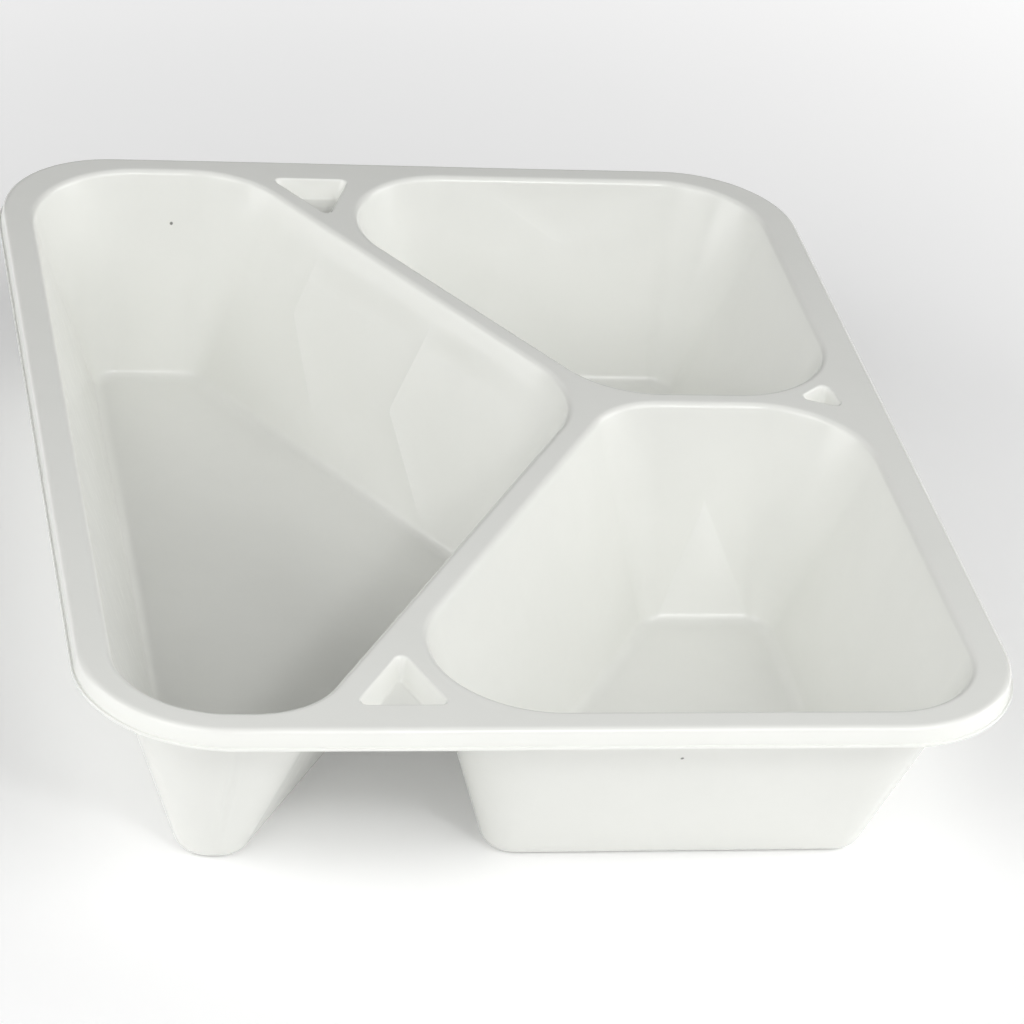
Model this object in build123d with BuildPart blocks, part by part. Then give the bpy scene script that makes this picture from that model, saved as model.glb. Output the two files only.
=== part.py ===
"""Three-compartment tray, formed from one plastic sheet.

The tray is a single sheet drawn down into three compartments. Each region of the
sheet is a node of its own: the flat sealing deck with its Y-shaped webs, the
turned-down lip, three shallow pockets that stiffen the ends of the webs, and the
wall and the floor of each compartment. Neighbouring regions meet face to face.

Frame: millimetres, +Z up, +Y towards the rear edge. The origin is the centre of
the tray in plan, on the underside of the compartment floors.
"""

from build123d import *
from math import atan, cos, degrees, radians, sqrt, tan
import os

# Driving dimensions
LENGTH = 227.0  # overall, front to rear
WIDTH = 178.0  # overall, left to right
HEIGHT = 43.8  # underside of the floors to the top of the deck
SHEET = 0.6  # thickness of the formed sheet
DRAFT = 20.5  # degrees between a compartment wall and the vertical

RIM_LEFT = 6.8  # trim edge to compartment edge
RIM_RIGHT = 8.2
RIM_REAR = 6.8
RIM_FRONT = 6.8
TRIM_CORNER = 27.0  # plan radius of the tray's corners

SMALL_WIDTH = 52.5  # junction of the three webs to the right compartment edge
JUNCTION_Y = 8.2  # rear of the tray's middle
REAR_WEB_END = 50.6  # left compartment edge to the web's centre line, at the rear edge
FRONT_WEB_END = 37.9  # the same, at the front edge
CENTRE_WEB = 4.3  # web widths, compartment edge to compartment edge
REAR_WEB = 4.7
FRONT_WEB = 5.5

# Plan radii of the compartments' corners at the deck, anticlockwise from each
# compartment's first corner
LARGE_RADII = (20.0, 19.0, 25.0, 21.0, 26.0)
REAR_RADII = (21.0, 23.0, 21.5, 22.5)
FRONT_RADII = (22.0, 20.0, 22.0, 17.0)

EDGE_RADIUS = 1.6  # deck turning down into a compartment, on the upper surface
FLOOR_RADIUS = 3.0  # wall turning into the floor, on the upper surface
FLOOR_CORNER = 5.0  # plan radius of a compartment's corners at its floor

LIP_WIDTH = 2.2  # flat edge of the deck to the trim edge
LIP_DROP = 4.0  # top of the deck to the underside of the trim edge
LIP_RADIUS = 1.4  # deck turning down into the lip, on the upper surface
LIP_FOOT = 0.5  # outward foot left by trimming
LIP_DRAFT = 5.0  # degrees

POCKET_DEPTH = 4.3  # top of the deck to the top of a pocket's floor
POCKET_CORNER = 1.4  # plan radius of a pocket's corners at the deck
POCKET_FOOT_CORNER = 0.5  # the same at its floor
POCKET_EDGE = 9.2  # trim edge to the base of an end pocket
REAR_POCKET_SIDE = 1.65  # centre line of a slanting web to the side of its pocket
FRONT_POCKET_SIDE = 2.6
REAR_POCKET_GAP = 4.9  # pocket to the rounded corner of the small compartment beside it
FRONT_POCKET_GAP = 4.3
REAR_POCKET_LEAN = 21.4  # degrees between that side of the pocket and the long axis
FRONT_POCKET_LEAN = 20.2
SIDE_POCKET_TIP = (10.6, 1.0)  # in from the right compartment edge, rear of the junction
SIDE_POCKET_REAR = (3.3, 7.4)
SIDE_POCKET_FRONT = (1.5, -3.2)

# Dimensions that follow
HALF_X = WIDTH / 2
HALF_Y = LENGTH / 2
LEFT = RIM_LEFT - HALF_X
RIGHT = HALF_X - RIM_RIGHT
REAR = HALF_Y - RIM_REAR
FRONT = RIM_FRONT - HALF_Y
JUNCTION_X = RIGHT - SMALL_WIDTH
REAR_WEB_ANGLE = degrees(atan((JUNCTION_X - LEFT - REAR_WEB_END) / (REAR - JUNCTION_Y)))
FRONT_WEB_ANGLE = degrees(atan((JUNCTION_X - LEFT - FRONT_WEB_END) / (JUNCTION_Y - FRONT)))
SLOPE = tan(radians(DRAFT))
TURN = tan(radians(90 - DRAFT) / 2)  # tangent length of a rounding, per millimetre of radius
SKIN = SHEET / cos(radians(DRAFT))  # thickness of a wall, measured level
LEVEL = 0.25  # level strip between a rounding and the edge of its node
FLANGE = EDGE_RADIUS * TURN + LEVEL  # compartment edge to the edge of its wall node
SIDE_SHARE = 0.9  # most of a side that the roundings of its two corners may take
FOOT_SHARE = 0.6  # largest floor rounding, as a share of the corners it runs round
CLEAR = 10.0  # how far a cutting tool runs past the sheet


def web_x(y, angle, side):
    """X of the line beside a slanting web, side millimetres from its centre line, at y."""
    return JUNCTION_X - abs(y - JUNCTION_Y) * tan(radians(angle)) + side / cos(radians(angle))


def inset_corners(corners, inset):
    """Corners of an outline whose sides have all moved inwards by inset."""
    moved = []
    for i, corner in enumerate(corners):
        here = Vector(*corner)
        back = (Vector(*corners[i - 1]) - here).normalized()
        ahead = (Vector(*corners[(i + 1) % len(corners)]) - here).normalized()
        shift = (back + ahead) * (inset / abs(back.cross(ahead).Z))
        moved.append((here.X + shift.X, here.Y + shift.Y))
    return moved


def fitted(corners, radii):
    """Corner radii, made smaller where those of two neighbours don't fit on their side."""
    points = [Vector(*corner) for corner in corners]
    reach = []
    for i, here in enumerate(points):
        back = (points[i - 1] - here).normalized()
        ahead = (points[(i + 1) % len(points)] - here).normalized()
        opening = back.dot(ahead)
        reach.append(radii[i] * sqrt((1 + opening) / (1 - opening)))
    fit = list(radii)
    for i, here in enumerate(points):
        j = (i + 1) % len(points)
        scale = min(1, SIDE_SHARE * (points[j] - here).length / (reach[i] + reach[j]))
        fit[i] = min(fit[i], radii[i] * scale)
        fit[j] = min(fit[j], radii[j] * scale)
    return fit


def foot(corners):
    """Corner radii at a compartment's floor, and the rounding from its wall into its floor."""
    foot_corners = inset_corners(corners, (HEIGHT - SHEET) * SLOPE)
    radii = fitted(foot_corners, [FLOOR_CORNER] * len(corners))
    return radii, min(FLOOR_RADIUS, FOOT_SHARE * min(radii))


def outline(corners, radii, height):
    """Closed outline with rounded corners, as a sketch at the given height."""
    with BuildSketch(Plane.XY.offset(height)) as plan:
        with BuildLine():
            FilletPolyline(*corners, radius=radii, close=True)
        make_face()
    return plan.sketch


def grown(radii, amount):
    """Corner radii of an outline that has grown outwards by amount."""
    return [radius + amount for radius in radii]


def level_face(solid, height, side):
    """The widest level face of a solid at a height; side is +1 if it looks up, -1 if down."""
    level = [
        face
        for face in solid.faces().filter_by(Plane.XY)
        if abs(face.center().Z - height) < 1e-4 and face.normal_at().Z * side > 0
    ]
    return ShapeList(level).sort_by(SortBy.AREA)[-1]


def filling(corners, radii, top, base, base_radii, rounding):
    """Solid that fills a drafted hollow with conical corners and a rounded foot."""
    base_corners = inset_corners(corners, (top - base) * SLOPE)
    base_outline = outline(base_corners, fitted(base_corners, base_radii), base)
    with BuildPart() as body:
        loft([outline(corners, radii, top), base_outline], ruled=True)
        fillet(level_face(body.part, base, -1).edges(), rounding)
    return body.part


def compartment(corners, radii):
    """Sheet of one compartment, wall and floor in one piece, with its rounded top edge."""
    foot_radii, rounding = foot(corners)
    inside = filling(corners, radii, HEIGHT, SHEET, foot_radii, rounding)
    outside = filling(
        inset_corners(corners, -SKIN),
        grown(radii, SKIN),
        HEIGHT,
        0,
        grown(foot_radii, SKIN),
        rounding + SHEET,
    )
    brim = outline(inset_corners(corners, -FLANGE), grown(radii, FLANGE), HEIGHT)
    wide_brim = outline(inset_corners(corners, -FLANGE - 1), grown(radii, FLANGE + 1), HEIGHT)
    with BuildPart() as space:
        add(inside)
        extrude(wide_brim, amount=CLEAR)
        fillet(level_face(space.part, HEIGHT, -1).inner_wires()[0].edges(), EDGE_RADIUS)
    with BuildPart() as bowl:
        add(outside)
        extrude(brim, amount=-SHEET)
        under = level_face(bowl.part, HEIGHT - SHEET, -1)
        fillet(under.inner_wires()[0].edges(), EDGE_RADIUS - SHEET)
        add(space.part, mode=Mode.SUBTRACT)
    return bowl.part


def floor_plate(corners):
    """Flat part of a compartment's floor, inside the rounding at the foot of its wall."""
    foot_radii, rounding = foot(corners)
    strip = rounding * TURN + LEVEL
    edge = inset_corners(corners, (HEIGHT - SHEET) * SLOPE + strip)
    radii = fitted(edge, [max(radius - strip, LEVEL) for radius in foot_radii])
    with BuildPart() as plate:
        extrude(outline(edge, radii, 0), amount=SHEET)
    return plate.part


def pocket(corners):
    """Shallow drafted pocket pressed into the deck, with a flat floor."""
    radii = [POCKET_CORNER] * len(corners)
    foot_radii = [POCKET_FOOT_CORNER] * len(corners)
    base = HEIGHT - POCKET_DEPTH
    outer = inset_corners(corners, -SKIN)
    outer_base = inset_corners(outer, (POCKET_DEPTH + SHEET) * SLOPE)
    rim = outline(outer, grown(radii, SKIN), HEIGHT)
    outside = [rim, outline(outer_base, grown(foot_radii, SKIN), base - SHEET)]
    inner_base = inset_corners(corners, POCKET_DEPTH * SLOPE)
    inside = [outline(corners, radii, HEIGHT), outline(inner_base, foot_radii, base)]
    with BuildPart() as cup:
        loft(outside, ruled=True)
        extrude(rim, amount=-SHEET)
        loft(inside, ruled=True, mode=Mode.SUBTRACT)
    return cup.part


def end_pocket(end, angle, side, web, radius, gap, lean):
    """Corners of the pocket at the rim end of a slanting web; end is +1 rear, -1 front.

    One side runs beside the web's centre line, one along the rim, and the third leans
    to the long axis and keeps a gap from the small compartment's rounded corner.
    """
    base_y = end * (HALF_Y - POCKET_EDGE)
    base_x = web_x(base_y, angle, side)
    edge = REAR if end > 0 else -FRONT
    centre_x = web_x(end * edge, angle, web / 2) + radius / tan(radians(90 - angle) / 2)
    inward = HALF_Y - POCKET_EDGE - edge + radius
    reach = (radius + gap) / cos(radians(lean)) - inward * tan(radians(lean))
    width = centre_x - reach - base_x
    length = width / (tan(radians(angle)) + tan(radians(lean)))
    tip_y = base_y - end * length
    corners = [(base_x, base_y), (base_x + width, base_y), (web_x(tip_y, angle, side), tip_y)]
    return corners if end < 0 else corners[::-1]


# Compartment outlines at the deck, anticlockwise
front_half = FRONT_WEB / 2 / cos(radians(FRONT_WEB_ANGLE))  # half a slanting web, measured level
rear_half = REAR_WEB / 2 / cos(radians(REAR_WEB_ANGLE))
spread = tan(radians(REAR_WEB_ANGLE)) + tan(radians(FRONT_WEB_ANGLE))
apex_y = JUNCTION_Y + (front_half - rear_half) / spread
rear_row_front = JUNCTION_Y + CENTRE_WEB / 2
front_row_rear = JUNCTION_Y - CENTRE_WEB / 2

large_corners = [
    (LEFT, FRONT),
    (web_x(FRONT, FRONT_WEB_ANGLE, -FRONT_WEB / 2), FRONT),
    (web_x(apex_y, REAR_WEB_ANGLE, -REAR_WEB / 2), apex_y),
    (web_x(REAR, REAR_WEB_ANGLE, -REAR_WEB / 2), REAR),
    (LEFT, REAR),
]
rear_corners = [
    (web_x(rear_row_front, REAR_WEB_ANGLE, REAR_WEB / 2), rear_row_front),
    (RIGHT, rear_row_front),
    (RIGHT, REAR),
    (web_x(REAR, REAR_WEB_ANGLE, REAR_WEB / 2), REAR),
]
front_corners = [
    (web_x(FRONT, FRONT_WEB_ANGLE, FRONT_WEB / 2), FRONT),
    (RIGHT, FRONT),
    (RIGHT, front_row_rear),
    (web_x(front_row_rear, FRONT_WEB_ANGLE, FRONT_WEB / 2), front_row_rear),
]
compartments = {
    "large_compartment": (large_corners, fitted(large_corners, LARGE_RADII)),
    "rear_compartment": (rear_corners, fitted(rear_corners, REAR_RADII)),
    "front_compartment": (front_corners, fitted(front_corners, FRONT_RADII)),
}
rear_corner = compartments["rear_compartment"][1][-1]
front_corner = compartments["front_compartment"][1][0]
side_steps = [SIDE_POCKET_FRONT, SIDE_POCKET_REAR, SIDE_POCKET_TIP]
pockets = {
    "rear_web_pocket": end_pocket(
        1,
        REAR_WEB_ANGLE,
        REAR_POCKET_SIDE,
        REAR_WEB,
        rear_corner,
        REAR_POCKET_GAP,
        REAR_POCKET_LEAN,
    ),
    "front_web_pocket": end_pocket(
        -1,
        FRONT_WEB_ANGLE,
        FRONT_POCKET_SIDE,
        FRONT_WEB,
        front_corner,
        FRONT_POCKET_GAP,
        FRONT_POCKET_LEAN,
    ),
    "side_web_pocket": [(RIGHT - x, JUNCTION_Y + y) for x, y in side_steps],
}

os.makedirs("parts", exist_ok=True)

# Compartments: one wall and one floor node each
for name, (corners, radii) in compartments.items():
    bowl = compartment(corners, radii)
    plate = floor_plate(corners)

    with BuildPart() as floor:
        add(plate)
    floor.part.label = f"{name}_floor"
    export_step(floor.part, f"parts/{name}_floor.step")

    with BuildPart() as wall:
        add(bowl)
        add(plate, mode=Mode.SUBTRACT)
    wall.part.label = f"{name}_wall"
    export_step(wall.part, f"parts/{name}_wall.step")

# Web pockets
for name, corners in pockets.items():
    with BuildPart() as web_pocket:
        add(pocket(corners))
    web_pocket.part.label = name
    export_step(web_pocket.part, f"parts/{name}.step")

# Sealing deck: flat flange and webs, open at every compartment and pocket
with BuildPart() as sealing_deck:
    with BuildSketch(Plane.XY.offset(HEIGHT)):
        RectangleRounded(WIDTH - 2 * LIP_WIDTH, LENGTH - 2 * LIP_WIDTH, TRIM_CORNER - LIP_WIDTH)
        for corners, radii in compartments.values():
            opening = outline(inset_corners(corners, -FLANGE), grown(radii, FLANGE), 0)
            add(opening, mode=Mode.SUBTRACT)
        for corners in pockets.values():
            opening_radii = [POCKET_CORNER + SKIN] * len(corners)
            opening = outline(inset_corners(corners, -SKIN), opening_radii, 0)
            add(opening, mode=Mode.SUBTRACT)
    extrude(amount=-SHEET)
sealing_deck.part.label = "sealing_deck"
export_step(sealing_deck.part, "parts/sealing_deck.step")

# Rim lip: a section that runs outwards from the flat edge of the deck, swept round the tray
skirt_foot = LIP_WIDTH - LIP_FOOT
skirt_top = skirt_foot - (LIP_DROP - SHEET) * tan(radians(LIP_DRAFT))
lip_section = [
    (0, 0),
    (skirt_top, 0),
    (skirt_foot, SHEET - LIP_DROP),
    (LIP_WIDTH, SHEET - LIP_DROP),
    (LIP_WIDTH, -LIP_DROP),
    (skirt_foot - SHEET, -LIP_DROP),
    (skirt_top - SHEET, -SHEET),
    (0, -SHEET),
]
with BuildSketch(Plane.XY.offset(HEIGHT)) as deck_outline:
    RectangleRounded(WIDTH - 2 * LIP_WIDTH, LENGTH - 2 * LIP_WIDTH, TRIM_CORNER - LIP_WIDTH)
deck_edge = deck_outline.sketch.face().outer_wire()
outward = (deck_edge % 0).cross(Vector(0, 0, 1))
with BuildPart() as rim_lip:
    with BuildSketch(Plane(origin=deck_edge @ 0, x_dir=outward, z_dir=-(deck_edge % 0))) as lip:
        with BuildLine():
            Polyline(*lip_section, close=True)
        make_face()
        fillet(lip.vertices().sort_by_distance((skirt_top, 0))[0], LIP_RADIUS)
        fillet(lip.vertices().sort_by_distance((skirt_top - SHEET, -SHEET))[0], LIP_RADIUS - SHEET)
    sweep(path=deck_edge)
rim_lip.part.label = "rim_lip"
export_step(rim_lip.part, "parts/rim_lip.step")
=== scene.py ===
"""Looks of a three-compartment tray, formed from one sheet of white plastic.

Lengths are in millimetres until a mesh is written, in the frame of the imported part:
+Z up, +Y towards the rear edge, origin under the middle of the tray. Every region of
the sheet is a closed piece of its own, and neighbours share their edge points, so the
sheet reads as one.
"""

from __future__ import annotations

import logging
import math
from dataclasses import dataclass, field
from enum import Enum
from typing import Any, Sequence

import bpy
import numpy as np
from mathutils import Matrix, Vector, geometry

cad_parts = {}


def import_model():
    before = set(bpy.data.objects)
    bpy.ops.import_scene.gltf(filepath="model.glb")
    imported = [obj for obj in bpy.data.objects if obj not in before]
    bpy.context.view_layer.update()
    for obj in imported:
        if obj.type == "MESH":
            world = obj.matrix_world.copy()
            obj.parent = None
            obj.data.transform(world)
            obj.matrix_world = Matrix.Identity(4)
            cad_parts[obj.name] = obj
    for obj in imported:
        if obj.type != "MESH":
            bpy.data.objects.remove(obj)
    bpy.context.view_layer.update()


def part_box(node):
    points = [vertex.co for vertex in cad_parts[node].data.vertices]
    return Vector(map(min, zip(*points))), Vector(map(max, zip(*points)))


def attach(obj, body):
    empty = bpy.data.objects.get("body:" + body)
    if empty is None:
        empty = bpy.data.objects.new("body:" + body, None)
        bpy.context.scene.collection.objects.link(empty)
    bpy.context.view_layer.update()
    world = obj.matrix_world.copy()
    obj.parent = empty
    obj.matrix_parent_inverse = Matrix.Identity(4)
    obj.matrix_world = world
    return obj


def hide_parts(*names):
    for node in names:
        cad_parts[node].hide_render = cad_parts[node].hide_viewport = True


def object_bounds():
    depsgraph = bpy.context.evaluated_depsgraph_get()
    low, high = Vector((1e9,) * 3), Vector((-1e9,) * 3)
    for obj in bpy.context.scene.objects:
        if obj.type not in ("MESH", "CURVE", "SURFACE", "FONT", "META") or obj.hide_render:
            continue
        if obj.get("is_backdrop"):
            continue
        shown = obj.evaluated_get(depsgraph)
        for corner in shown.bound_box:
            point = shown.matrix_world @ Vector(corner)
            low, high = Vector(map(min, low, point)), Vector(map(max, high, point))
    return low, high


Array = np.ndarray
Object = bpy.types.Object
Numbers = tuple[float, ...]
Pair = tuple[float, float]
Triple = tuple[float, float, float]
MM = 0.001
BODY = "root"
FULL_TURN = 2 * np.pi
PHASES = 6.3  # range of a wave's random phase
WHITE = (1.0, 1.0, 1.0, 1.0)

log = logging.getLogger("tray")


class End(Enum):
    """The two short edges of the tray, by the sign of their Y."""

    REAR = 1
    FRONT = -1


def unit(vectors: Array) -> Array:
    """The vectors along the last axis, each scaled to a length of one."""
    return vectors / np.linalg.norm(vectors, axis=-1, keepdims=True)


def raised(rings: Array, height: Array) -> Array:
    """Plan rings of shape (levels, points, 2), each lifted to its height."""
    rise = np.broadcast_to(height[:, None, None], rings.shape[:2] + (1,))
    return np.concatenate([rings, rise], axis=-1)


def placed(name: str, data: bpy.types.ID) -> Object:
    """Put an object that holds the data into the scene."""
    made = bpy.data.objects.new(name, data)
    bpy.context.scene.collection.objects.link(made)
    return made


# ---- plan of the tray


@dataclass(frozen=True)
class Draw:
    """How the sheet is drawn down, in millimetres and degrees.

    Attributes:
        sheet: Thickness of the sheet.
        draft: Angle between a drawn wall and the vertical.
        edge_radius: Rounding where the deck turns down, on the upper surface.
        foot_radius: Rounding where a wall meets its floor, on the upper surface.
        foot_corner: Plan radius of the corners at the floor.
        bow: How far the middle of a straight wall has drawn inwards on cooling.
        crown: How far the middle of a floor has risen.
        flat: Level strip kept between a rounding and the edge of its piece.
    """

    sheet: float
    draft: float
    edge_radius: float
    foot_radius: float
    foot_corner: float
    bow: float = 0.0
    crown: float = 0.0
    flat: float = 0.25

    @property
    def slope(self) -> float:
        """Inset of a wall for each millimetre that it drops."""
        return math.tan(math.radians(self.draft))

    @property
    def turn(self) -> float:
        """Tangent length of a rounding for each millimetre of its radius."""
        return math.tan(math.radians(90 - self.draft) / 2)

    @property
    def flange(self) -> float:
        """Distance from the compartment edge out to the edge of its piece."""
        return self.edge_radius * self.turn + self.flat


@dataclass(frozen=True)
class Outline:
    """A convex plan outline with rounded corners, anticlockwise.

    Attributes:
        corners: Corner points before rounding, as (x, y) rows.
        radii: Rounding of each corner at the deck.
        arc_steps: Points along each rounded corner.
        side_steps: Points along each straight side.
    """

    corners: Array
    radii: Array
    arc_steps: int = 26
    side_steps: int = 26

    def rings(self, inset: Array, radius: Array, bow: Array | None = None) -> Array:
        """Closed rings of points, one for each level.

        A corner's arc has its centre on the corner's bisector, inset plus radius away
        from both sides. A side runs straight between two arcs, and bows inwards by
        bow times the square of a half sine wave.

        Args:
            inset: Distance of each level's sides inside the corner points, (levels,).
            radius: Corner radius of each level and corner, (levels, corners).
            bow: Inward bow of the sides at each level, (levels,), or None.

        Returns:
            Points of shape (levels, points, 2).
        """
        here = self.corners
        back, ahead = (unit(np.roll(here, step, axis=0) - here) for step in (1, -1))
        sine = np.abs(back[:, 0] * ahead[:, 1] - back[:, 1] * ahead[:, 0])
        lean = (back + ahead) / sine[:, None]
        start = np.arctan2(back[:, 0], -back[:, 1])
        turn = np.mod(np.arctan2(-ahead[:, 0], ahead[:, 1]) - start, FULL_TURN)
        centre = here[None] + lean[None] * (inset[:, None] + radius)[:, :, None]
        angle = start[:, None] + turn[:, None] * np.linspace(0, 1, self.arc_steps)[None]
        spoke = np.stack([np.cos(angle), np.sin(angle)], axis=-1)
        arcs = centre[:, :, None] + radius[:, :, None, None] * spoke[None]
        begin = arcs[:, :, -1]
        end = np.roll(arcs[:, :, 0], -1, axis=1)
        share = np.linspace(0, 1, self.side_steps + 2)[1:-1]
        sides = begin[:, :, None] + (end - begin)[:, :, None] * share[None, None, :, None]
        if bow is not None:
            inward = np.stack([-ahead[:, 1], ahead[:, 0]], axis=-1)
            swell = bow[:, None] * np.sin(np.pi * share)[None] ** 2
            sides = sides + swell[:, None, :, None] * inward[None, :, None]
        loop = np.concatenate([arcs, sides], axis=2)
        return loop.reshape(len(inset), -1, 2)


def rounded_path(points: Sequence[Pair], radii: Sequence[float], steps: int) -> Array:
    """An open path whose inner points are rounded.

    Each rounding is a quadratic curve that leaves and meets the two runs at the
    tangent points of a circle of the given radius.

    Args:
        points: Path points.
        radii: Rounding of each inner point.
        steps: Points along each rounding.

    Returns:
        Points of shape (n, 2).
    """
    path = np.asarray(points, float)
    middle = path[1:-1]
    back, ahead = unit(path[:-2] - middle), unit(path[2:] - middle)
    opening = np.arccos(np.clip((back * ahead).sum(axis=1), -1, 1))
    reach = (np.asarray(radii) / np.tan(opening / 2))[:, None]
    t = np.linspace(0, 1, steps)[None, :, None]
    first, last = ((middle + way * reach)[:, None] for way in (back, ahead))
    curves = (1 - t) ** 2 * first + 2 * t * (1 - t) * middle[:, None] + t**2 * last
    return np.concatenate([path[:1], curves.reshape(-1, 2), path[-1:]])


@dataclass(frozen=True)
class Relief:
    """Slow unevenness of the formed sheet, the same for every piece.

    Attributes:
        top: Height of the deck, where the sheet is least supported.
        sag: Depth of the broad waves along the deck.
        ripple: Depth of the short waves that cooling leaves.
        seed: Seed of the waves' directions and phases.
        broad: How many broad waves add up, with their least and greatest length.
        short: The same for the short waves.
        pushes: The same for waves that push the walls, each in its own direction.
    """

    top: float
    sag: float = 0.16
    ripple: float = 0.022
    seed: int = 7
    broad: tuple[int, float, float] = (4, 90, 170)
    short: tuple[int, float, float] = (3, 20, 45)
    pushes: tuple[int, float, float] = (6, 14, 34)

    @staticmethod
    def wave(draws: np.random.Generator, along: Array, length: Sequence[float]) -> Array:
        """A sine wave of a random length and phase, by the distance along it."""
        return np.sin(FULL_TURN * along / draws.uniform(*length) + draws.uniform(0, PHASES))

    def plan_wave(self, draws: np.random.Generator, plan: Array, length: Sequence[float]) -> Array:
        """A wave that runs in a random direction of the plan."""
        heading = draws.uniform(0, FULL_TURN)
        along = plan @ np.array([math.cos(heading), math.sin(heading)])
        return self.wave(draws, along, length)

    def settle(self, points: Array) -> Array:
        """Lower and ripple points by sums of sine waves.

        Args:
            points: Points of shape (..., 3).

        Returns:
            The moved points. Points on the ground stay where they are.
        """
        draws = np.random.default_rng(self.seed)
        moved = points.copy()
        height = np.clip(points[..., 2] / self.top, 0, 1)
        plan = points[..., :2]
        broad = np.zeros(height.shape)
        count, *length = self.broad
        for _ in range(count):
            broad += self.plan_wave(draws, plan, length) / count
        moved[..., 2] -= self.sag * (0.5 + 0.5 * broad) * height
        count, *length = self.short
        for _ in range(count):
            short = self.plan_wave(draws, plan, length)
            moved[..., 2] -= self.ripple * (0.5 + 0.5 * short) * height
        count, *length = self.pushes
        for _ in range(count):
            heading, push = unit(draws.normal(size=3)), unit(draws.normal(size=3))
            size = self.wave(draws, points @ heading, length)
            moved += (self.ripple / count**0.5 * size * np.sin(np.pi * height))[..., None] * push
        return moved


# ---- mesh writing


@dataclass
class Skin:
    """Vertices and faces that are gathered into one closed piece."""

    points: list[Array] = field(default_factory=list)
    faces: list[Array] = field(default_factory=list)
    count: int = 0

    def add(self, points: Array) -> Array:
        """Keep points and return the index of each, in the shape of the grid."""
        flat = points.reshape(-1, 3)
        index = self.count + np.arange(len(flat))
        self.points.append(flat)
        self.count += len(flat)
        return index.reshape(points.shape[:-1])

    def quads(self, grid: Array, flip: bool = False) -> None:
        """Join neighbouring rows of indices, whose rings close on themselves.

        Args:
            grid: Indices of shape (rings, points).
            flip: True to turn the faces over.
        """
        near, far = grid[:-1], grid[1:]
        quads = np.stack([near, np.roll(near, -1, 1), np.roll(far, -1, 1), far], axis=-1)
        quads = quads.reshape(-1, 4)
        self.faces.append(quads[:, ::-1] if flip else quads)

    def fan(self, ring: Array, centre: Array, flip: bool = False) -> None:
        """Close a ring of indices with a fan to one centre index."""
        tips = np.full(len(ring), int(np.ravel(centre)[0]))
        faces = np.stack([ring, np.roll(ring, -1), tips], axis=-1)
        self.faces.append(faces[:, ::-1] if flip else faces)

    def piece(self, name: str, sharp: float = 40.0) -> Object:
        """Write the skin as a mesh object at the origin.

        Args:
            name: Name of the piece.
            sharp: Angle in degrees from which an edge stays crisp.
        """
        mesh = bpy.data.meshes.new(name)
        faces = [face for block in self.faces for face in block.tolist()]
        mesh.from_pydata((np.concatenate(self.points) * MM).tolist(), [], faces)
        mesh.polygons.foreach_set("use_smooth", np.ones(len(mesh.polygons), dtype=bool))
        mesh.set_sharp_from_angle(angle=math.radians(sharp))
        mesh.update()
        mesh.validate()
        return placed(name, mesh)


# ---- parts of the tray


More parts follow.
